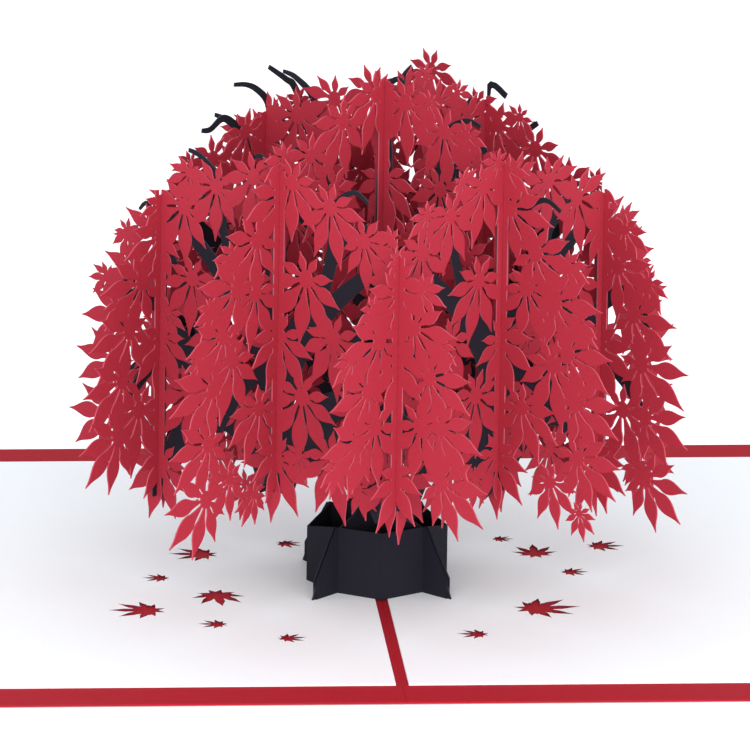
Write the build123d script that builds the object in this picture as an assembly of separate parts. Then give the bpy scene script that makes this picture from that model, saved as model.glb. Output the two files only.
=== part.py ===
from build123d import *
import math
import os
import random

# A pop up card, opened flat. A red folded cover carries a white liner on each half,
# and a maple tree of slotted sheets stands over the fold.
# Origin on the underside below the middle of the cover. +X runs across the fold,
# +Y along the fold to the back, +Z up. Sizes are in millimetres and angles in degrees.

# Cover and liners
panel_width = 127.0          # one half of the cover, from the fold to the outer end
card_depth = 178.0           # along the fold
cover_thick = 0.4
score_width = 0.7            # groove that the fold is scored with
score_depth = 0.15
liner_thick = 0.4
border = 10.7                # red border round each liner
fold_strip = 2.6             # red strip between the two liners

# Sheets of the tree
sheet_thick = 0.3            # black branch sheets and root skins
leaf_thick = 0.3             # red leaf sheets
slot_clear = 0.1             # on each side of a slot and at its end
tree_forward = 8.0           # the tree stands this far in front of the cover's middle
sheet_pitch = 31.7           # between parallel sheets
rows = (-1, 0, 1)            # parallel sheets of one direction

# Crown: a dome that slopes from its top to steep sides
crown_radius = 62.0
crown_base = 20.0            # height at which the dome is widest
crown_rise = 90.0            # from there to the top
crown_power = 1.5            # shape of the slope
crown_side = 3.0             # steepness of the sides
hem_middle = 21.0            # height of the lowest leaf tips over the fold
hem_side = 11.0              # and at hem_turn from the fold or more
hem_turn = 45.0

# Maple leaf: lobes as (angle from the long lobe, length), and the notches between them
fan_lobes = ((-68, 9.0), (-34, 11.0), (0, 12.9), (34, 11.0), (68, 9.0))
back_lobes = ((145, 6.2), (215, 6.2))
notch_radius = 5.6
back_notch = 3.4
leaf_scales = (1.3, 1.22, 1.14)
leaf_columns = sheet_pitch / 2   # spacing of the leaves along a row
leaf_rows = 16.0             # spacing of the rows
hub_rise = 14.5              # from the hem up to the hubs of the lowest row
place_play = 0.8             # leaves are moved by up to this much
turn_play = 10.0             # and turned by up to this much
leaf_inset = 14.0            # from a hanging leaf's hub up to the crown's edge
side_inset = 19.0            # and sideways
edge_inset = 5.5             # from a hub to the crown's edge for the leaves along its top
edge_side = 4.5              # and so much more for those at its sides
edge_spacing = 19.5
edge_scale = 1.12
lean = 30.0                  # outward lean of the leaves at the crown's edge
rail_width = 2.0             # plain strip beside each slot of a leaf sheet
rail_low, rail_high = 7.0, 3.0   # from a strip's ends to the hem and to the crown's edge
least_gap = 18.0             # square millimetres: smaller gaps between leaves are closed
least_edge = 1.2             # a cutter's step: shorter edges run into their neighbours
least_kink = 0.4             # and corners flatter than this are left out

# Trunk, limbs and roots
trunk_width = 7.0
trunk_top = 0.88             # where the trunk ends, as a share of the dome's rise
post_width = 2.3             # black strip beside each slot of a branch sheet
post_low, post_high = 8.0, 10.0  # from a strip's ends to the hem and to the crown's edge
root_reach = 20.0            # from the trunk's axis to a toe, along a sheet
root_height = 13.8
toe_height = 3.0
toe_slope = 1.2
tab_inner = 12.5             # a tab sits between these two distances from the axis
tab_outer = 17.5
skin_crease = 12.5           # where a root skin leaves its root
skin_corner = 14.2           # from the trunk's axis to a skin's corner
skin_height = 14.0
side_height = 11.5           # of the left and right skins at their corner

# Limbs on each side of a sheet: points as shares of its half length and of the height from
# the hem to the crown's top, then the widths of the limb's two ends
limb_shapes = (
    (((0, 0.08), (0.38, 0.36), (0.86, 0.2)), 9.0, 3.2),
    (((0.1, 0.2), (0.34, 0.22), (0.54, 0.07)), 8.0, 5.0),
    (((0, 0.3), (0.22, 0.58), (0.6, 0.74)), 6.4, 1.6),
    (((0.04, 0.42), (0.2, 0.62), (0.44, 0.84)), 4.4, 1.4),
    (((0.42, 0.36), (0.84, 0.58)), 4.6, 1.6),
)

# Fallen leaves cut through the liners: middle as x, y from the foot of the tree, scale, turn
fallen = (
    (-36.4, 18.5, 0.56, 265), (-45, 2, 0.32, 265), (-33, -12, 0.62, 5), (-50, -20, 0.64, 268),
    (-35.2, -29.8, 0.34, 265), (-19.8, -39.6, 0.34, 100), (-16.3, 25.1, 0.32, 60),
    (28.2, 27.7, 0.26, 90), (33.9, 19.1, 0.54, 180), (49, 22.3, 0.44, 90), (41, 4.2, 0.33, 90),
    (33.2, -20.5, 0.75, 97), (16.6, -37.8, 0.36, 265),
)

liner_top = cover_thick + liner_thick
stack_back = -sheet_thick / 2
glue_line = sheet_thick / 2
stack_front = glue_line + leaf_thick
foot = Vector(0, -tree_forward, 0)
diagonal = math.sqrt(0.5)


def crown_top(radius):
    """Height of the dome at a distance from the trunk's axis."""
    share = min(abs(radius) / crown_radius, 1.0)
    return crown_base + crown_rise * (1 - share**crown_power) ** (1 / crown_side)


def hem(along, row, direction):
    """Height of the lowest leaf tips, which fall away from the fold to both sides."""
    across = (along + row * sheet_pitch * (1 if direction == "a" else -1)) * diagonal
    return hem_middle + (hem_side - hem_middle) * min(abs(across) / hem_turn, 1.0) ** 2


def half_length(row):
    """Half the length of a sheet that stands row pitches from the trunk's axis."""
    return math.sqrt(crown_radius**2 - (row * sheet_pitch) ** 2)


def slot_end(along, row, direction):
    """Height at which the two half slots of a crossing meet."""
    return (crown_top(math.hypot(along, row * sheet_pitch)) + hem(along, row, direction)) / 2


def sheet_plane(direction, row):
    """Plane of a sheet: x along the sheet, y up, normal towards the front of the card."""
    along = Vector(diagonal, diagonal if direction == "a" else -diagonal, 0)
    normal = along.cross(Vector(0, 0, 1))
    return Plane(origin=foot + normal * (row * sheet_pitch), x_dir=along, z_dir=normal)


def face_of(points):
    return make_face(Polyline(*points, close=True))


def leaf_points(u, v, scale, turn, whole=True):
    """Outline of one leaf. At turn 0 its long lobe points down. A buried back is left plain."""
    lobes = fan_lobes + (back_lobes if whole else ())
    polar = []
    for (angle, length), (following, _) in zip(lobes, lobes[1:] + lobes[:1]):
        step = (following - angle) % 360
        polar.append((angle, length))
        polar.append((angle + step / 2, notch_radius if step < 35 else back_notch))
    return [(u + scale * radius * math.sin(math.radians(turn + angle)),
             v - scale * radius * math.cos(math.radians(turn + angle))) for angle, radius in polar]


def hanging_leaves(row, direction, chance):
    """Staggered rows of leaves as (u, v, scale, turn, whole). The free ones of the lowest row are whole."""
    offset = row * sheet_pitch
    places = []
    count = math.ceil(crown_radius / leaf_columns)
    levels = int((crown_rise + crown_base - hem_middle) / leaf_rows)
    for level in range(levels):
        for i in range(-count, count + 1):
            u = (i + 0.5 * (level % 2)) * leaf_columns + chance.uniform(-place_play, place_play)
            v = hem(u, row, direction) + hub_rise + level * leaf_rows + chance.uniform(-place_play, place_play)
            turn = lean * u / crown_radius + chance.uniform(-turn_play, turn_play)
            scale = chance.choice(leaf_scales)
            inside = abs(u) < half_length(row) - side_inset
            if inside and v < crown_top(math.hypot(u, offset)) - leaf_inset:
                places.append((u, v, scale, turn, level == 0 and i % 2 == 1))
    return places


def edge_leaves(row, direction, chance):
    """Leaves along the dome's edge, which hang as the others do and lean outwards at the sides."""
    offset = row * sheet_pitch
    steps = 400
    places = []
    walked = edge_spacing / 2
    arc = [half_length(row) * math.cos(math.pi * i / steps) for i in range(steps + 1)]
    edge = [(u, crown_top(math.hypot(u, offset))) for u in arc]
    for (u0, v0), (u1, v1) in zip(edge, edge[1:]):
        walked += math.hypot(u1 - u0, v1 - v0)
        if walked < edge_spacing:
            continue
        walked -= edge_spacing
        turn = math.atan2(v1 - v0, u1 - u0)
        inset = edge_inset + edge_side * math.sin(abs(turn))
        u, v = u0 - inset * math.sin(turn), v0 + inset * math.cos(turn)
        play = chance.uniform(-turn_play, turn_play)
        if v > hem(u, row, direction) + hub_rise - place_play:
            places.append((u, v, edge_scale, lean * u0 / crown_radius + play, True))
    return places


def slots(direction, row, margin):
    """Half slots of a sheet, where the sheets of the other direction pass through."""
    sketch = Sketch()
    for other in rows:
        middle = -other * sheet_pitch if direction == "a" else other * sheet_pitch
        end = slot_end(middle, row, direction)
        if direction == "a":
            left, right = middle - stack_front - slot_clear, middle - stack_back + slot_clear
            low, high = -margin, end + slot_clear / 2
        else:
            left, right = middle + stack_back - slot_clear, middle + stack_front + slot_clear
            low, high = end - slot_clear / 2, crown_base + crown_rise + margin
        sketch += face_of(((left, low), (right, low), (right, high), (left, high)))
    return sketch


def strips(row, direction, width, low_gap, high_gap):
    """Upright strips that carry the slots of a sheet."""
    half = stack_front + slot_clear + width
    faces = []
    for other in rows:
        middle = other * sheet_pitch
        low = hem(middle, row, direction) + low_gap
        high = crown_top(math.hypot(middle, row * sheet_pitch)) - high_gap
        faces.append(face_of(((middle - half, low), (middle + half, low),
                              (middle + half, high), (middle - half, high))))
    return faces


def limb(points, start_width, end_width):
    """A branch that tapers along its points."""
    left, right = [], []
    for i, (u, v) in enumerate(points):
        before, after = points[max(i - 1, 0)], points[min(i + 1, len(points) - 1)]
        length = math.hypot(after[0] - before[0], after[1] - before[1])
        side_u, side_v = -(after[1] - before[1]) / length, (after[0] - before[0]) / length
        half = (start_width + (end_width - start_width) * i / (len(points) - 1)) / 2
        left.append((u + side_u * half, v + side_v * half))
        right.append((u - side_u * half, v - side_v * half))
    return face_of(left + right[::-1])


def plain_outline(wire, kink):
    """The wire without its shortest edges and without corners flatter than the kink."""
    corners = [edge @ 0 for edge in wire.order_edges()]
    kept = [corners[0]]
    for corner, following in zip(corners[1:], corners[2:] + corners[:1]):
        chord = following - kept[-1]
        rise = chord.cross(corner - kept[-1]).length / max(chord.length, least_edge)
        if (corner - kept[-1]).length > least_edge and rise > kink:
            kept.append(corner)
    return Wire(Polyline(*kept, close=True).edges())


def largest_face(sketch):
    return max(sketch.faces(), key=lambda face: face.area)


def one_face(faces):
    """The faces joined into one, without pinholes, in the plainest outline that makes a sound sheet."""
    largest = largest_face(Sketch() + faces)
    holes = [wire for wire in largest.inner_wires() if Face(wire).area > least_gap]
    for kink in (least_kink, least_kink / 2, least_kink / 8):
        plain = Face(plain_outline(largest.outer_wire(), kink), [plain_outline(wire, kink) for wire in holes])
        if extrude(plain, leaf_thick).is_valid:
            return plain
    return Face(largest.outer_wire(), holes)


def save(shape, name):
    solids = shape.solids()
    print(name, len(solids), round(sum(s.volume for s in solids), 2))
    export_step(shape if len(solids) > 1 else solids[0], f"parts/{name}.step")


os.makedirs("parts", exist_ok=True)

# Cover: one flat sheet with the score of its fold on the inside
cover = Box(2 * panel_width, card_depth, cover_thick, align=(Align.CENTER, Align.CENTER, Align.MIN))
score = Plane.XZ * face_of(((-score_width / 2, cover_thick), (0, cover_thick - score_depth),
                            (score_width / 2, cover_thick)))
cover -= extrude(score, card_depth / 2, both=True)
save(cover, "cover")

# Liners: plain sheets with leaf cut-outs and a slit for each tab
liner_length = panel_width - border - fold_strip / 2
liner_middle = fold_strip / 2 + liner_length / 2
tab_middle = (tab_inner + tab_outer) / 2
for name, side in (("liner_left", -1), ("liner_right", 1)):
    sketch = Pos(side * liner_middle, 0) * Rectangle(liner_length, card_depth - 2 * border)
    for x, y, scale, turn in fallen:
        if x * side > 0:
            hole = face_of(leaf_points(0, 0, scale, turn, scale > 0.5))
            middle = hole.bounding_box().center()
            sketch -= Pos(x - middle.X, y - middle.Y - tree_forward) * hole
    for end in (-1, 1):
        slit = Rectangle(tab_outer - tab_inner + 2 * slot_clear, sheet_thick + 2 * slot_clear)
        place = Pos(side * tab_middle * diagonal, end * tab_middle * diagonal - tree_forward)
        sketch -= place * Rot(0, 0, 45 * side * end) * slit
    save(Pos(0, 0, cover_thick) * extrude(sketch, liner_thick), name)

# Branch sheets: trunk and roots on the middle ones, limbs and slot posts on all six
trunk = limb(((0, liner_top + 1), (0.6, crown_base + crown_rise * 0.15), (-0.6, crown_base + crown_rise * 0.5),
              (0, crown_base + crown_rise * trunk_top)), trunk_width, 2.4)
root_side = ((root_reach, liner_top), (root_reach - toe_slope, liner_top + toe_height),
             (skin_crease + toe_slope / 2, root_height), (trunk_width * 0.62, root_height * 1.4),
             (trunk_width / 2, root_height * 2.2))
root = face_of(root_side + tuple((-x, y) for x, y in reversed(root_side)))
tabs = [face_of(((side * tab_inner, cover_thick), (side * tab_outer, cover_thick),
                 (side * tab_outer, liner_top + 1), (side * tab_inner, liner_top + 1)))
        for side in (-1, 1)]


def limbs(row):
    """Limbs of one sheet, from the trunk or from the posts out to the crown's edge."""
    reach = half_length(row)
    rise = crown_top(row * sheet_pitch) - hem_middle
    return [limb([(side * u * reach, hem_middle + v * rise) for u, v in points], start, end)
            for points, start, end in limb_shapes for side in (-1, 1)]


for direction in ("a", "b"):
    for number, row in enumerate(rows, 1):
        plane = sheet_plane(direction, row)
        cut = slots(direction, row, 5)
        black = strips(row, direction, post_width, post_low, post_high) + limbs(row)
        if row == 0:
            black += [trunk, root] + tabs
        black = largest_face(Sketch() + black - cut)
        lifted = plane.offset(stack_back) * black
        save(extrude(lifted, sheet_thick, dir=plane.z_dir), f"branch_sheet_{direction}{number}")

        chance = random.Random(f"{direction}{row}")
        places = hanging_leaves(row, direction, chance) + edge_leaves(row, direction, chance)
        leaves = [face_of(leaf_points(*place)) for place in places]
        rails = strips(row, direction, rail_width, rail_low, rail_high)
        red = largest_face(Sketch() + one_face(leaves + rails) - cut)
        lifted = plane.offset(glue_line) * red
        save(extrude(lifted, leaf_thick, dir=plane.z_dir), f"leaf_sheet_{direction}{number}")

# Root skins: a folded strip round each quarter of the trunk's foot, its wings on two roots
gap = sheet_thick                                # from a root's middle to a wing's middle
wing = [((-r + gap) * diagonal, (-r - gap) * diagonal) for r in (root_reach - 0.8, skin_crease)]
path = wing + [(0, -skin_corner)] + [(-x, y) for x, y in reversed(wing)]
band = extrude(limb(path, sheet_thick, sheet_thick), skin_height)
half_foot = root_reach * diagonal
half_crease = skin_crease * diagonal
for name, turn, height in (("front", 0, skin_height), ("left", -90, side_height),
                           ("back", 180, skin_height), ("right", 90, side_height)):
    profile = ((half_foot, 0), (half_foot - toe_slope / 3, toe_height), (half_crease + toe_slope / 3, root_height),
               (half_crease, root_height), (0, height))
    front_view = Plane.XZ * face_of(profile + tuple((-x, z) for x, z in profile[3::-1]))
    skin = band & extrude(front_view, 2 * root_reach, both=True)
    save(Pos(0, -tree_forward, liner_top) * Rot(0, 0, turn) * skin, f"root_skin_{name}")
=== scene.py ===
import math
import random

import bmesh
import bpy
from mathutils import Matrix, Vector
from mathutils.geometry import delaunay_2d_cdt


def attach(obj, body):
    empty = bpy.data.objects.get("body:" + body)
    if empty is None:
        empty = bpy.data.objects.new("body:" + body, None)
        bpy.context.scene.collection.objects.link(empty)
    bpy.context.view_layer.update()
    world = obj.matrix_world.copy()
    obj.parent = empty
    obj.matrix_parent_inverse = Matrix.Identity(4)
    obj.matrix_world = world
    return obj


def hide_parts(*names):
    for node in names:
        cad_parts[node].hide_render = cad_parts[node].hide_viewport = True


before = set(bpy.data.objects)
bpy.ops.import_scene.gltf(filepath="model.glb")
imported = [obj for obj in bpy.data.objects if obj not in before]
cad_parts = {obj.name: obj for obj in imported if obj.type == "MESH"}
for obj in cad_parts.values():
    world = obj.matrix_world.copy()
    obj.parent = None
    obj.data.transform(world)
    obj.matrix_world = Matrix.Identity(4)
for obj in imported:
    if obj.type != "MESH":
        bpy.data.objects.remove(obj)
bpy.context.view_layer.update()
MM = 0.001

# Cover
# One sheet of red card, scored and folded across its middle and pressed flat again.
# The card is dyed through, with a fine felt grain and small darker fibres.


def add_node(tree, kind, settings, inputs):
    """A node with its settings made first, then its sockets given a value or a link."""
    node = tree.nodes.new(kind)
    for name, value in settings.items():
        setattr(node, name, value)
    for name, value in inputs.items():
        if isinstance(value, Value):
            value = value.socket
        if isinstance(value, bpy.types.NodeSocket):
            tree.links.new(value, node.inputs[name])
        else:
            node.inputs[name].default_value = value
    return node


class Value:
    """A number that varies over a surface. Sums on it add Math nodes."""

    def __init__(self, socket):
        self.socket = socket

    def sum(self, operation, first, second):
        tree = self.socket.id_data
        node = add_node(tree, "ShaderNodeMath", {"operation": operation}, {0: first, 1: second})
        return Value(node.outputs[0])

    def __add__(self, other):
        return self.sum("ADD", self, other)

    def __sub__(self, other):
        return self.sum("SUBTRACT", self, other)

    def __mul__(self, other):
        return self.sum("MULTIPLY", self, other)

    def __rsub__(self, other):
        return self.sum("SUBTRACT", other, self)

    __radd__ = __add__
    __rmul__ = __mul__


def printed(red, green, blue):
    """A colour as it is seen on a screen, in the linear values that a shader takes."""
    parts = [channel / 255 for channel in (red, green, blue)]
    return [p / 12.92 if p < 0.04045 else ((p + 0.055) / 1.055) ** 2.4 for p in parts] + [1.0]


def blended(tree, share, first, second):
    node = add_node(tree, "ShaderNodeMix", {"data_type": "RGBA"}, {0: share, 6: first, 7: second})
    return node.outputs[2]


cloud_size = 9.0                                # millimetres: cloudy patches in the sheet
fibre_size = 2.2                                # stray fibres, in widths of the felt grain
fibre_low, fibre_high = 0.52, 0.72              # noise at which a fibre starts to show, and is full
fibre_share, cloud_share = 0.5, 0.35            # how far each moves the colour
felt_gloss, paper_shine = 0.2, 0.12


def paper_finish(name, colour, fibre, edge, grain, roughness, depth):
    """Dyed paper: cloudy formation, stray fibres, a felt grain and a colour painted on the cut edge, which
    is painted shade on the white liners and a painted highlight on the red leaves.
    """
    material = bpy.data.materials.new(name)
    material.use_nodes = True
    tree = material.node_tree
    shader = tree.nodes["Principled BSDF"]
    place = add_node(tree, "ShaderNodeTexCoord", {}, {}).outputs["Object"]

    def noise(size, detail, rough=0.5):
        inputs = {"Vector": place, "Scale": 1 / (size * MM), "Detail": detail, "Roughness": rough}
        return Value(add_node(tree, "ShaderNodeTexNoise", {}, inputs).outputs["Fac"])

    clouds = noise(cloud_size, detail=2.0)
    felt = noise(grain, detail=3.0, rough=0.6)
    stray = noise(grain * fibre_size, detail=4.0, rough=0.75)
    rim = Value(add_node(tree, "ShaderNodeAttribute", {"attribute_name": "rim"}, {}).outputs["Fac"])
    ramp = add_node(tree, "ShaderNodeMapRange", {}, {0: stray, 1: fibre_low, 2: fibre_high}).outputs[0]
    mottled = blended(tree, Value(ramp) * fibre_share + (clouds - 0.5) * cloud_share, colour, fibre)
    # the edge colour goes on the cut walls where rim is 1: painted shade on the white liners, a painted
    # highlight on the red leaves, paler on the black sheets
    tree.links.new(blended(tree, rim, mottled, edge), shader.inputs["Base Color"])
    tree.links.new((roughness + (felt - 0.5) * felt_gloss).socket, shader.inputs["Roughness"])
    shader.inputs["Specular IOR Level"].default_value = paper_shine
    bump = add_node(tree, "ShaderNodeBump", {}, {"Strength": 1.0, "Distance": depth * MM, "Height": felt})
    tree.links.new(bump.outputs["Normal"], shader.inputs["Normal"])
    return material


red_card = paper_finish("red card", printed(167, 28, 42), printed(149, 21, 36), printed(182, 50, 64),
                        grain=0.34, roughness=0.78, depth=0.02)
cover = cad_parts["cover"]
cover.data.materials.clear()
cover.data.materials.append(red_card)

# Liners
# Two sheets of heavy white paper glued inside the cover, one on each side of the fold.
# Maple leaves are cut out of them by a laser, so that the red card shows as fallen leaves. The walls of the
# openings are painted dark maroon, a painted shade for the shadow at their edges; the long outer edges get
# no painted shade and stay white.

foot = Vector((0, -8.0, 0))                     # foot of the tree on the cover
cover_thick = 0.4
liner_top = 0.8
liner_inner = 1.3                               # from the fold to the liner
liner_outer = 116.3
liner_depth = 78.3                              # from the middle to the front and back edges
leaf_lobes = (                                  # angle from straight down and length of each lobe
    (-156, 5.4), (-104, 6.8), (-69, 9.6), (-34, 12.2), (0, 13.4),
    (34, 12.2), (69, 9.6), (104, 6.8), (156, 5.4),
)
hanging_profile = (                             # shares of a lobe's length and of its half width
    (0.15, 0.14), (0.22, 0.27), (0.3, 0.42), (0.36, 0.56), (0.42, 0.8), (0.47, 0.93), (0.53, 1.0),
    (0.6, 0.97), (0.67, 0.85), (0.74, 0.64), (0.81, 0.4), (0.88, 0.2), (0.95, 0.08),
)
fallen_profile = ((0.48, 0.8), (0.57, 0.86), (0.68, 0.66), (0.8, 0.36), (0.9, 0.15))
lobe_half = 1.88                                # half the width of the long lobe at its widest
lobe_thinning = 0.8                             # power by which a shorter lobe is narrower
lobe_spread = 0.3                               # most half width, as a share of the way from the hub
hanging_notch, fallen_notch = 1.7, 5.4          # from the hub to the notches between lobes
notch_clear = 0.85                              # share of the notch within which a lobe has no edge
wide_gap = 22                                   # degrees: half the gaps beside the stalk are wider
even_notch, stalk_notch = 3.0, 0.5              # notches further out go in to this share beside the stalk
same_corner = 1e-5                              # corners nearer than this are joined
waste_area = 15.0                               # square millimetres: smaller loose bits fall out
fallen_leaves = (                               # middle from the foot of the tree, size and turn
    (-36.4, 18.5, 0.56, 265), (-45, 2, 0.32, 265), (-33, -12, 0.62, 5), (-50, -20, 0.64, 268),
    (-35.2, -29.8, 0.34, 265), (-19.8, -39.6, 0.34, 100), (-16.3, 25.1, 0.32, 60),
    (28.2, 27.7, 0.26, 90), (33.9, 19.1, 0.54, 180), (49, 22.3, 0.44, 90), (41, 4.2, 0.33, 90),
    (33.2, -20.5, 0.75, 97), (16.6, -37.8, 0.36, 265),
)


def leaf_outline(profile, notch):
    """One maple leaf with its long lobe pointing down, in millimetres from its hub."""
    points = []
    longest = max(length for _, length in leaf_lobes)
    for (angle, length), (following, _) in zip(leaf_lobes, leaf_lobes[1:] + leaf_lobes[:1]):
        down = Vector((math.sin(math.radians(angle)), -math.cos(math.radians(angle))))
        across = Vector((-down.y, down.x))
        side = [(reach * length, half * lobe_half * (length / longest) ** lobe_thinning)
                for reach, half in profile if reach * length > notch * notch_clear]
        side = [(along, min(half, along * lobe_spread)) for along, half in side]
        points += [down * along - across * half for along, half in side]
        points.append(down * length)
        points += [down * along + across * half for along, half in reversed(side)]
        between = (following - angle) % 360 / 2
        depth = notch * (stalk_notch if between > wide_gap and notch > even_notch else 1)
        points.append(Matrix.Rotation(math.radians(between), 2) @ down * depth)
    return points


def turned(points, x, y, scale, turn):
    spin = Matrix.Rotation(math.radians(turn), 2) * scale
    return [spin @ point + Vector((x, y)) for point in points]


def rectangle(left, low, right, high):
    return [Vector(corner) for corner in ((left, low), (right, low), (right, high), (left, high))]


def without_waste(points, faces):
    """The faces of a cut sheet, less the small loose bits that fall out of it."""
    group = list(range(len(points)))

    def first(i):
        while group[i] != i:
            group[i] = group[group[i]]
            i = group[i]
        return i

    for face in faces:
        for corner in face[1:]:
            group[first(corner)] = first(face[0])
    areas = {}
    for face in faces:
        area = sum(points[a].cross(points[b]) for a, b in zip(face, face[1:] + face[:1])) / 2
        areas[first(face[0])] = areas.get(first(face[0]), 0) + area
    return [face for face in faces if areas[first(face[0])] > waste_area]


def press_cut(name, outlines, holes, low, high):
    """A sheet between two heights, cut to the joined outlines less the holes. Its cut edge is marked."""
    corners, loops = [], []
    for outline in outlines + holes:
        area = sum(a.cross(b) for a, b in zip(outline, outline[1:] + outline[:1]))
        loops.append(list(range(len(corners), len(corners) + len(outline))))
        corners += outline if area > 0 else outline[::-1]
    points, _, faces, _, _, sources = delaunay_2d_cdt(corners, [], loops, 1, same_corner)
    kept = [face for face, source in zip(faces, sources) if source and max(source) < len(outlines)]
    kept = without_waste(points, kept)
    bm = bmesh.new()
    rim = bm.faces.layers.float.new("rim")
    top = [bm.verts.new((p.x, p.y, high)) for p in points]
    bottom = [bm.verts.new((p.x, p.y, low)) for p in points]
    once = {}
    for face in kept:
        bm.faces.new([top[i] for i in face])
        bm.faces.new([bottom[i] for i in reversed(face)])
        for edge in zip(face, face[1:] + face[:1]):
            if edge[::-1] in once:
                del once[edge[::-1]]
            else:
                once[edge] = True
    for a, b in once:
        wall = bm.faces.new((top[b], top[a], bottom[a], bottom[b]))
        wall[rim] = 1.0
    bmesh.ops.delete(bm, geom=[v for v in bm.verts if not v.link_faces], context="VERTS")
    mesh = bpy.data.meshes.new(name)
    bm.to_mesh(mesh)
    bm.free()
    return mesh


def placed(mesh, matrix, material, slot, *nodes):
    """Puts the finished piece in place of the nodes that it stands for."""
    mesh.transform(Matrix.Scale(MM, 4) @ matrix)
    mesh.materials.clear()
    mesh.materials.append(material)
    piece = bpy.data.objects.new(mesh.name, mesh)
    bpy.context.scene.collection.objects.link(piece)
    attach(piece, "root")
    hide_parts(*nodes)


# Its edge colour, dark maroon, is painted shade on the walls of the openings and slits.
white_paper = paper_finish("white paper", printed(246, 249, 252), printed(240, 243, 248),
                           printed(116, 44, 60), grain=0.4, roughness=0.86, depth=0.014)
tab_middle, tab_width = 15.0, 5.0               # from the trunk's axis along a sheet, and the tab's own
tab_slit_length, tab_slit_width = 5.2, 0.5
largest_shaded_wall = 20.0                             # square millimetres: walls smaller than this get the painted shade; only the outer edges are larger
for side, word in ((-1, "left"), (1, "right")):
    sheet = rectangle(side * liner_inner, -liner_depth, side * liner_outer, liner_depth)
    openings = []
    for x, y, scale, turn in fallen_leaves:
        shape = turned(leaf_outline(fallen_profile, fallen_notch), 0, 0, scale, turn)
        middle = [(min(p[axis] for p in shape) + max(p[axis] for p in shape)) / 2 for axis in (0, 1)]
        if x * side > 0:
            openings.append([point + Vector((x - middle[0], y - middle[1] + foot.y)) for point in shape])
    slit = rectangle(-tab_slit_length / 2, -tab_slit_width / 2, tab_slit_length / 2, tab_slit_width / 2)
    away = tab_middle * math.sqrt(0.5)
    for end in (-1, 1):
        openings.append(turned(slit, side * away, end * away + foot.y, 1, 45 * side * end))
    mesh = press_cut(f"liner_{word}", [sheet], openings, cover_thick, liner_top)
    # Only the small walls of the openings and slits keep the painted shade; the long outer walls stay
    # white.
    for face, mark in zip(mesh.polygons, mesh.attributes["rim"].data):
        mark.value *= face.area < largest_shaded_wall
    placed(mesh, Matrix.Identity(4), white_paper, "white_card", f"liner_{word}")

# Branch sheets
# Six flat sheets of black paper, three each way, slotted together half and half.
# The middle two carry the trunk and roots. All carry limbs and the posts beside their slots.

sheet_pitch = 31.7
rows = (-1, 0, 1)                               # behind the trunk, through it and in front of it
stack = (-0.15, 0.15, 0.45)                     # back, glue line and front of a pair of sheets
slot_clear = 0.1
slot_low, slot_high = -5, 120                   # past the foot and the top of every sheet
crown_radius = 62.0
crown_base = 20.0
crown_rise = 90.0
crown_power, crown_side = 1.5, 3.0              # shape of the dome's slope and of its sides
hem_middle, hem_side = 21.0, 11.0               # lowest tips over the fold and out at the sides
hem_turn = 45.0                                 # from the fold to where the hem is at its lowest
post_width, post_low, post_high = 1.1, 8, 10    # strip beside a slot, and its ends to hem and edge
limb_steps = 5                                  # straight pieces from one point of a limb to the next


def crown_top(radius):
    share = min(abs(radius) / crown_radius, 1.0)
    return crown_base + crown_rise * (1 - share**crown_power) ** (1 / crown_side)


def hem(along, row, direction):
    """Height of the lowest leaf tips, which fall away from the fold to both sides."""
    across = (along + row * sheet_pitch * (1 if direction == "a" else -1)) * math.sqrt(0.5)
    return hem_middle + (hem_side - hem_middle) * min(abs(across) / hem_turn, 1.0) ** 2


def half_length(row):
    return math.sqrt(crown_radius**2 - (row * sheet_pitch) ** 2)


def sheet_place(direction, row):
    """From a flat sheet (along, up, towards the front) to where it stands in the tree."""
    along = Vector((1, 1 if direction == "a" else -1, 0)).normalized()
    up = Vector((0, 0, 1))
    front = along.cross(up)
    matrix = Matrix((along, up, front)).transposed().to_4x4()
    matrix.translation = foot + front * (row * sheet_pitch)
    return matrix


def crossing_slots(direction, row):
    """Half slots of a sheet: a sheets open downwards, b sheets upwards."""
    cuts = []
    for other in rows:
        middle = other * sheet_pitch * (-1 if direction == "a" else 1)
        end = (crown_top(math.hypot(middle, row * sheet_pitch)) + hem(middle, row, direction)) / 2
        if direction == "a":
            cuts.append(rectangle(middle - stack[2] - slot_clear, slot_low,
                                  middle - stack[0] + slot_clear, end))
        else:
            cuts.append(rectangle(middle + stack[0] - slot_clear, end,
                                  middle + stack[2] + slot_clear, slot_high))
    return cuts


def posts(row, direction, width, low_gap, high_gap):
    """Plain strips that stiffen a sheet at its slots."""
    half = stack[2] + slot_clear + width
    middles = [other * sheet_pitch for other in rows]
    return [rectangle(middle - half, hem(middle, row, direction) + low_gap, middle + half,
                      crown_top(math.hypot(middle, row * sheet_pitch)) - high_gap) for middle in middles]


def limb(points, start_width, end_width):
    """A curved branch that runs through its points and tapers along them."""
    points = [Vector(point) for point in points]
    path = []
    for i in range(len(points) - 1):
        before = points[max(i - 1, 0)]
        start, end = points[i], points[i + 1]
        after = points[min(i + 2, len(points) - 1)]
        for step in range(limb_steps):
            t = step / limb_steps
            path.append(0.5 * (2 * start + (end - before) * t
                               + (2 * before - 5 * start + 4 * end - after) * t * t
                               + (3 * start - before - 3 * end + after) * t**3))
    path.append(points[-1])
    left, right = [], []
    for i, point in enumerate(path):
        way = (path[min(i + 1, len(path) - 1)] - path[max(i - 1, 0)]).normalized()
        half = (start_width + (end_width - start_width) * i / (len(path) - 1)) / 2
        left.append(point + Vector((-way.y, way.x)) * half)
        right.append(point - Vector((-way.y, way.x)) * half)
    return left + right[::-1]


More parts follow.
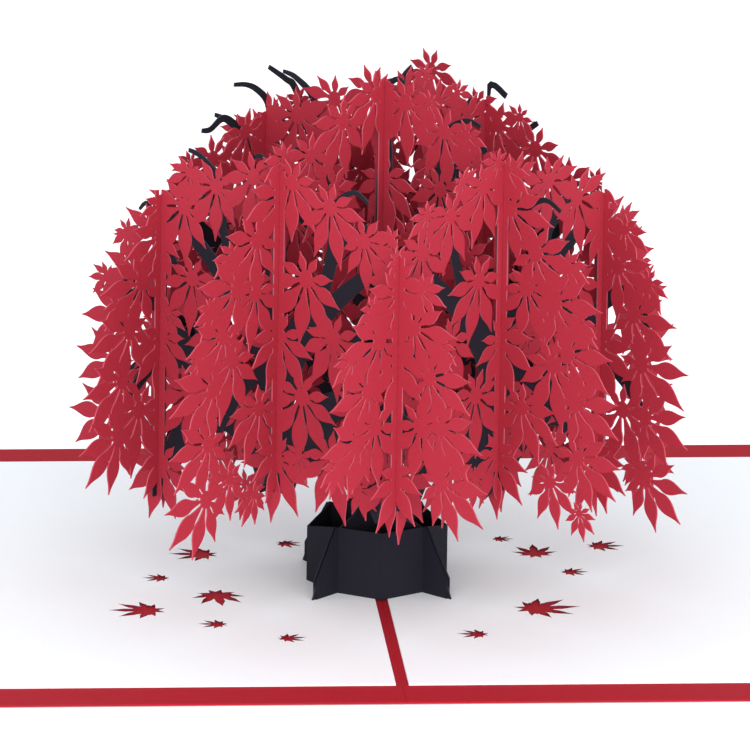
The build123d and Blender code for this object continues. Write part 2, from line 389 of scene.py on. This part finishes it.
# Each limb: shares of the sheet's half length and of its height over the hem, then its end widths.
limb_shapes = (
    (((0, 0.08), (0.14, 0.26), (0.38, 0.37), (0.64, 0.34), (0.8, 0.24)), 9.0, 1.8),
    (((0.05, 0.16), (0.22, 0.24), (0.4, 0.22), (0.54, 0.07)), 8.0, 5.0),
    (((0, 0.28), (0.1, 0.46), (0.28, 0.62), (0.5, 0.74), (0.62, 0.72)), 6.2, 1.4),
    (((0.03, 0.4), (0.1, 0.54), (0.22, 0.64), (0.3, 0.78), (0.44, 0.85)), 4.4, 1.2),
    (((0.38, 0.36), (0.6, 0.5), (0.76, 0.55), (0.82, 0.46)), 4.4, 1.4),
)
crest_twigs = 6                                 # steps along the crest, with a short bare tip between two
twig_spread = 0.75                              # share of the half length that the tips take up
twig_play = 4                                   # moved along the sheet by up to this much
twig_rise = (-4, -1)                            # from the crown's edge up to a tip
twig_reach = (3, 7)
twig_bends = (-1.6, -0.4, 0.9)
twig_starts, twig_ends = (1.8, 3.0), (0.5, 0.9)     # widths
# Long bare tips over the crest, by sheet: points along and up it, then end widths.
bare_twigs = {
    "a-1": ((((-2, 80), (-6, 88.5), (-9.6, 92.6), (-13.1, 94.6), (-16.8, 93), (-19.4, 93.2)), 2.4, 0.9),
            (((2, 84), (1.4, 92), (0.3, 96), (-3.1, 99), (-6.2, 100.4), (-9.7, 101)), 2.0, 0.8),
            (((14, 88), (9, 97), (6.2, 99.3), (0.9, 102.8)), 1.9, 0.9)),
    "b-1": ((((0.8, 84), (0.8, 98.6), (5.6, 97.6)), 1.5, 1.3), (((4, 78), (9, 89), (14, 93.5)), 2.2, 1.0),
            (((10, 72), (14, 80), (22.5, 82.6)), 2.4, 1.1)),
    "a1": ((((8, 66), (15, 78), (23.6, 83.4)), 2.6, 1.3),),
    "a0": ((((2, 94), (5, 104), (8.6, 107)), 2.2, 1.4), (((38, 78), (43, 85), (47.7, 88)), 1.8, 0.9)),
}


def limbs(row, direction, chance):
    """Limbs that droop at their ends, and a sheet's long bare tips or else short ones of its own."""
    reach = half_length(row)
    rise = crown_top(row * sheet_pitch) - hem_middle
    parts = [limb([(side * u * reach, hem_middle + v * rise) for u, v in points], start, end)
             for points, start, end in limb_shapes for side in (-1, 1)]
    long_tips = bare_twigs.get(f"{direction}{row}", ())
    parts += [limb(points, start, end) for points, start, end in long_tips]
    if long_tips:
        return parts
    for step in range(1, crest_twigs):
        middle = reach * twig_spread * math.cos(math.pi * step / crest_twigs)
        u = middle + chance.uniform(-twig_play, twig_play)
        v = crown_top(math.hypot(u, row * sheet_pitch)) + chance.uniform(*twig_rise)
        away = math.copysign(chance.uniform(*twig_reach), u)
        bend = chance.choice(twig_bends)
        course = ((u * 0.5, v - 32), (u * 0.74, v - 15), (u - away * 0.6, v - 4), (u + away * 0.3, v),
                  (u + away, v + bend))
        parts.append(limb(course, chance.uniform(*twig_starts), chance.uniform(*twig_ends)))
    return parts


black_paper = paper_finish("black paper", printed(30, 29, 39), printed(21, 21, 29), printed(60, 54, 62),
                           grain=0.3, roughness=0.72, depth=0.018)
trunk_width, trunk_tip = 7.0, 2.4
trunk_course = ((0, liner_top + 1), (0.6, 30), (-0.6, 62), (0, 99))
root_reach, root_height = 20.0, 13.8
toe_height, toe_slope = 3.0, 1.2
skin_crease = 12.5                              # where a root skin leaves its root
root_outline = (                                # up one side, from the toe into the trunk
    (root_reach, liner_top), (root_reach - toe_slope, liner_top + toe_height), (16.6, 7.5),
    (skin_crease + 0.6, root_height), (trunk_width * 1.05, root_height + 2.4),
    (trunk_width * 0.66, root_height + 7), (trunk_width / 2, root_height + 16),
)
for direction in ("a", "b"):
    for number, row in enumerate(rows, 1):
        chance = random.Random(f"twigs {direction}{row}")
        outlines = posts(row, direction, post_width, post_low, post_high) + limbs(row, direction, chance)
        if row == 0:
            outlines.append(limb(trunk_course, trunk_width, trunk_tip))
            outlines.append([Vector(corner) for corner in root_outline]
                            + [Vector((-x, y)) for x, y in reversed(root_outline)])
            for side in (-1, 1):
                outlines.append(rectangle(side * tab_middle - tab_width / 2, cover_thick,
                                          side * tab_middle + tab_width / 2, liner_top + 1))
        slots = crossing_slots(direction, row)
        mesh = press_cut(f"branches_{direction}{number}", outlines, slots, *stack[:2])
        placed(mesh, sheet_place(direction, row), black_paper, "black_paper",
               f"branch_sheet_{direction}{number}")

# Leaf sheets
# Six sheets of red paper, each cut in one pass into joined maple leaves and plain strips
# beside the slots, and glued to the front of a branch sheet. The cut edges are painted paler, a painted
# highlight where they catch the light.

leaf_columns = sheet_pitch * 0.48
leaf_rows = 12.4
hub_rise = 15.5                                 # from the hem to the hubs of the lowest row
along_play, up_play, turn_play = 0.8, 1.2, 12   # leaves are moved and turned by up to so much
leaf_sizes = (1.06, 1.0, 0.92)
hem_fall = 1.0                                  # where the hem lies lower than at the fold by this,
hem_shares = (0.97, 0.8)                        # the lowest leaves are smaller, in turns
leaf_inset = 14.0                               # from a hanging leaf's hub up to the crown's edge
leaf_shoulder = 4                               # which is taken this far out from the hub
side_inset = 14.5
gap_share = 0.04                                # leaves left out, for each row above the lowest
small_share = 0.16                              # leaves that have a small one hanging from a lobe
small_sizes, small_reach = (0.42, 0.62), 11.5
small_turns, small_play = (-35, 0, 35), 20
low_sizes, low_drop = (0.42, 0.6), 5            # small leaves between those of the lowest row
lean, edge_lean = 30.0, 62.0                    # outward lean at the crown's edge
edge_steps = 400                                # straight pieces of the edge that is walked along
edge_spacing = 12.0
edge_inset, edge_side = 5.5, 3.5                # hub to edge at the top, and so much more at the sides
edge_sizes, edge_play = (0.9, 1.04), 16
edge_low = 2                                    # how far below the lowest row's hubs they may start
edge_small, edge_small_inset = 0.65, 3.2        # share of small leaves between those of the edge
edge_small_low, edge_small_high = 60.0, 105.0   # heights of the edge between which they stand
edge_small_sizes, edge_small_turn, edge_small_play = (0.45, 0.62), 50, 1
slit_start, slit_end = 2.0, 0.54                # from the hub, in millimetres and as a share of a lobe
slit_width = 0.5
slit_clear = 2.2                                # from the middle of a slot to a slit
slit_smallest = 0.75                            # size of the smallest leaf that has slits of its own
strip_width, strip_low, strip_high = 1.2, 12, 4
crest_leaves = {"b-1": [(-14.4, 99.8, 0.85, 4), (-20.1, 95.4, 0.5, 12)]}    # stand up over the crest


def hanging_leaves(row, direction, chance):
    """Staggered rows of leaves as (along, up, size, turn)."""
    offset = row * sheet_pitch
    places = []
    count = math.ceil(crown_radius / leaf_columns)
    for level in range(int((crown_rise + crown_base - hem_middle) / leaf_rows)):
        for i in range(-count, count + 1):
            u = (i + 0.5 * (level % 2)) * leaf_columns + chance.uniform(-along_play, along_play)
            v = hem(u, row, direction) + hub_rise + level * leaf_rows + chance.uniform(-up_play, up_play)
            turn = lean * u / crown_radius + chance.uniform(-turn_play, turn_play)
            at_side = level == 0 and hem(u, row, direction) < hem_middle - hem_fall
            size = chance.choice(leaf_sizes) * (hem_shares[i % 2] if at_side else 1)
            missing = level > 1 and chance.random() < gap_share * level
            inside = not missing and abs(u) < half_length(row) - side_inset
            if inside and v < crown_top(math.hypot(u, offset) + leaf_shoulder) - leaf_inset:
                places.append((u, v, size, turn))
                if level and chance.random() < small_share:
                    away = math.radians(turn + chance.choice(small_turns))
                    reach = small_reach * size
                    places.append((u + reach * math.sin(away), v - reach * math.cos(away),
                                   chance.uniform(*small_sizes),
                                   turn + chance.uniform(-small_play, small_play)))
                if level == 0 and i % 2:
                    places.append((u + leaf_columns / 2, v - low_drop, chance.uniform(*low_sizes), turn))
    return places


def edge_leaves(row, direction, chance):
    """Leaves along the dome's edge, which hang as the others do and lean outwards at the sides."""
    offset = row * sheet_pitch
    places = []
    walked = edge_spacing / 2
    arc = [half_length(row) * math.cos(math.pi * i / edge_steps) for i in range(edge_steps + 1)]
    edge = [(u, crown_top(math.hypot(u, offset))) for u in arc]
    for (u0, v0), (u1, v1) in zip(edge, edge[1:]):
        walked += math.hypot(u1 - u0, v1 - v0)
        if walked < edge_spacing:
            continue
        walked -= edge_spacing
        turn = math.atan2(v1 - v0, u1 - u0)
        if chance.random() < edge_small and edge_small_low < v0 < edge_small_high:
            back = edge_small_inset + chance.uniform(-edge_small_play, edge_small_play)
            places.append((u0 - back * math.sin(turn) + math.cos(turn) * edge_spacing / 2,
                           v0 + back * math.cos(turn) + math.sin(turn) * edge_spacing / 2,
                           chance.uniform(*edge_small_sizes),
                           lean * u0 / crown_radius + chance.uniform(-edge_small_turn, edge_small_turn)))
        inset = edge_inset + edge_side * math.sin(abs(turn))
        u, v = u0 - inset * math.sin(turn), v0 + inset * math.cos(turn)
        size = chance.uniform(*edge_sizes)
        play = chance.uniform(-edge_play, edge_play)
        if v > hem(u, row, direction) + hub_rise - edge_low:
            places.append((u, v, size, edge_lean * u0 / crown_radius + play))
    return places


def leaf_slits(places):
    """Needle-shaped slits between the lobes of each large leaf, clear of the strips beside the slots."""
    cuts = []
    lobes = leaf_lobes[1:-1]
    for u, v, size, turn in places:
        for (angle, length), (following, reach) in zip(lobes, lobes[1:]):
            way = math.radians((angle + following) / 2 + turn)
            down = Vector((math.sin(way), -math.cos(way)))
            across = Vector((-down.y, down.x)) * slit_width / 2
            end = slit_end * min(length, reach)
            hub = Vector((u, v))
            widest = hub + down * (slit_start * 0.5 + end * 0.5) * size
            needle = [hub + down * slit_start * size, widest + across,
                      hub + down * end * size, widest - across]
            left, right = min(point.x for point in needle), max(point.x for point in needle)
            clear = all(right < other * sheet_pitch - slit_clear or left > other * sheet_pitch + slit_clear
                        for other in rows)
            if size > slit_smallest and clear:
                cuts.append(needle)
    return cuts


leaf_die = bpy.data.meshes.new("leaf_die")
outline = leaf_outline(hanging_profile, hanging_notch)
leaf_die.from_pydata([(p.x, p.y, 0) for p in outline], [], [range(len(outline))])
leaf_pattern = bpy.data.objects.new("leaf_die", leaf_die)
# Its edge colour, a paler pink, is a painted highlight on the cut edges of the leaves.
red_paper = paper_finish("red paper", printed(167, 44, 60), printed(146, 31, 45), printed(192, 82, 97),
                         grain=0.3, roughness=0.74, depth=0.018)

scatter = bpy.data.node_groups.new("leaves on a sheet", "GeometryNodeTree")
for name, kind in (("Places", "Geometry"), ("Leaf", "Object"), ("Size", "Float"), ("Paper", "Material")):
    scatter.interface.new_socket(name, in_out="INPUT", socket_type=f"NodeSocket{kind}")
scatter.interface.new_socket("Leaves", in_out="OUTPUT", socket_type="NodeSocketGeometry")
given = add_node(scatter, "NodeGroupInput", {}, {}).outputs
size = add_node(scatter, "GeometryNodeInputNamedAttribute", {"data_type": "FLOAT"}, {"Name": "size"})
turn = add_node(scatter, "GeometryNodeInputNamedAttribute", {"data_type": "FLOAT"}, {"Name": "turn"})
angle = add_node(scatter, "ShaderNodeCombineXYZ", {}, {"Z": turn.outputs["Attribute"]}).outputs[0]
scale = add_node(scatter, "ShaderNodeMath", {"operation": "MULTIPLY"},
                 {0: size.outputs["Attribute"], 1: given["Size"]}).outputs[0]
shape = add_node(scatter, "GeometryNodeObjectInfo", {}, {"Object": given["Leaf"]}).outputs["Geometry"]
spread = add_node(scatter, "GeometryNodeInstanceOnPoints", {},
                  {"Points": given["Places"], "Instance": shape, "Rotation": angle, "Scale": scale})
real = add_node(scatter, "GeometryNodeRealizeInstances", {}, {"Geometry": spread.outputs["Instances"]})
dyed = add_node(scatter, "GeometryNodeSetMaterial", {},
                {"Geometry": real.outputs["Geometry"], "Material": given["Paper"]})
add_node(scatter, "NodeGroupOutput", {}, {"Leaves": dyed.outputs["Geometry"]})
identifiers = {item.name: item.identifier for item in scatter.interface.items_tree}


def stamped_leaves(name, places):
    """The leaf outlines of one sheet, laid out by the node tree."""
    points = bpy.data.meshes.new(name)
    points.from_pydata([(u, v, 0) for u, v, _, _ in places], [], [])
    for key, values in (("size", [p[2] for p in places]), ("turn", [math.radians(p[3]) for p in places])):
        points.attributes.new(key, "FLOAT", "POINT").data.foreach_set("value", values)
    layout = bpy.data.objects.new(name, points)
    bpy.context.scene.collection.objects.link(layout)
    modifier = layout.modifiers.new("leaves", "NODES")
    modifier.node_group = scatter
    modifier[identifiers["Leaf"]] = leaf_pattern
    modifier[identifiers["Size"]] = 1.0
    modifier[identifiers["Paper"]] = red_paper
    evaluated = layout.evaluated_get(bpy.context.evaluated_depsgraph_get())
    leaves = bpy.data.meshes.new_from_object(evaluated)
    found = [[leaves.vertices[i].co.xy for i in polygon.vertices] for polygon in leaves.polygons]
    bpy.data.meshes.remove(leaves)
    bpy.data.objects.remove(layout)
    return found


for direction in ("a", "b"):
    for number, row in enumerate(rows, 1):
        chance = random.Random(f"{direction}{row}")
        places = hanging_leaves(row, direction, chance) + edge_leaves(row, direction, chance)
        places += crest_leaves.get(f"{direction}{row}", [])
        outlines = stamped_leaves(f"layout_{direction}{number}", places)
        outlines += posts(row, direction, strip_width, strip_low, strip_high)
        cuts = crossing_slots(direction, row) + leaf_slits(places)
        mesh = press_cut(f"leaves_{direction}{number}", outlines, cuts, *stack[1:])
        placed(mesh, sheet_place(direction, row), red_paper, "red_paper", f"leaf_sheet_{direction}{number}")
bpy.data.objects.remove(leaf_pattern)

# Root skins
# Four strips of black paper, each creased three times and glued by its ends to two roots,
# so that they close the foot of the trunk all round.

for word in ("front", "back", "left", "right"):
    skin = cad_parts[f"root_skin_{word}"]
    skin.data.materials.clear()
    skin.data.materials.append(black_paper)

# Table, light and view
# A white table and backdrop in soft studio light. The camera stands in front of the card,
# a little to its left and above it, with a long lens.

table_half, table_drop = 3, 0.0002              # metres
table_glow = 0.3
room_light = 0.94


def looked_at(tree):
    """1 where a surface is seen straight or in a mirror or a glass, 0 where it only throws light."""
    path = add_node(tree, "ShaderNodeLightPath", {}, {}).outputs
    first = add_node(tree, "ShaderNodeMath", {"operation": "MAXIMUM"},
                     {0: path["Is Camera Ray"], 1: path["Is Glossy Ray"]}).outputs[0]
    return Value(add_node(tree, "ShaderNodeMath", {"operation": "MAXIMUM"},
                          {0: first, 1: path["Is Transmission Ray"]}).outputs[0])


table_mesh = bpy.data.meshes.new("table")
table_mesh.from_pydata([(-table_half, -table_half, 0), (table_half, -table_half, 0),
                        (table_half, table_half, 0), (-table_half, table_half, 0)], [], [(0, 1, 2, 3)])
table = bpy.data.objects.new("table", table_mesh)
table.location.z = -table_drop
bpy.context.scene.collection.objects.link(table)
table_finish = bpy.data.materials.new("white table")
table_finish.use_nodes = True
tree = table_finish.node_tree
shader = tree.nodes["Principled BSDF"]
shader.inputs["Base Color"].default_value = printed(246, 246, 250)
shader.inputs["Roughness"].default_value = 0.9
shader.inputs["Emission Color"].default_value = (1, 1, 1, 1)
tree.links.new((looked_at(tree) * table_glow).socket, shader.inputs["Emission Strength"])
table_mesh.materials.append(table_finish)

world = bpy.data.worlds.new("studio")
world.use_nodes = True
bpy.context.scene.world = world
tree = world.node_tree
room = tree.nodes["Background"].inputs
room["Color"].default_value = (0.94, 0.97, 1.0, 1.0)
tree.links.new((room_light + looked_at(tree) * (1 - room_light)).socket, room["Strength"])


def soft_box(name, place, aim, width, height, power):
    light = bpy.data.lights.new(name, "AREA")
    light.shape = "RECTANGLE"
    light.size, light.size_y, light.energy = width, height, power
    light.color = (1.0, 0.98, 0.95)
    lamp = bpy.data.objects.new(name, light)
    lamp.location = place
    lamp.rotation_euler = (Vector(aim) - Vector(place)).to_track_quat("-Z", "Y").to_euler()
    bpy.context.scene.collection.objects.link(lamp)


soft_box("key", (-0.35, -1.25, 0.75), (0, 0, 0.05), 1.0, 0.8, 6.0)
soft_box("fill", (0.45, -1.2, 0.62), (0, 0, 0.05), 1.0, 0.8, 5.4)
soft_box("low fill", (0.0, -1.5, 0.26), (0, 0, 0.03), 1.6, 0.3, 8.5)

view_yaw = math.radians(4.4)
view_elevation = math.radians(15.97)
view_roll = math.radians(0.88)
view_distance = 2.2
view_width = 0.1521                             # seen across the picture at the tree's axis
film_width = 36
aim = Vector((-0.00096, -0.008, 0.04414))
forward = Vector((math.sin(view_yaw) * math.cos(view_elevation),
                  math.cos(view_yaw) * math.cos(view_elevation), -math.sin(view_elevation)))
camera = bpy.data.objects.new("camera", bpy.data.cameras.new("camera"))
camera.data.sensor_width = film_width
camera.data.lens = film_width * view_distance / view_width
camera.location = aim - forward * view_distance
facing = forward.to_track_quat("-Z", "Y").to_matrix() @ Matrix.Rotation(view_roll, 3, "Z")
camera.rotation_euler = facing.to_euler()
bpy.context.scene.collection.objects.link(camera)
bpy.context.scene.camera = camera
bpy.context.scene.view_settings.view_transform = "Standard"
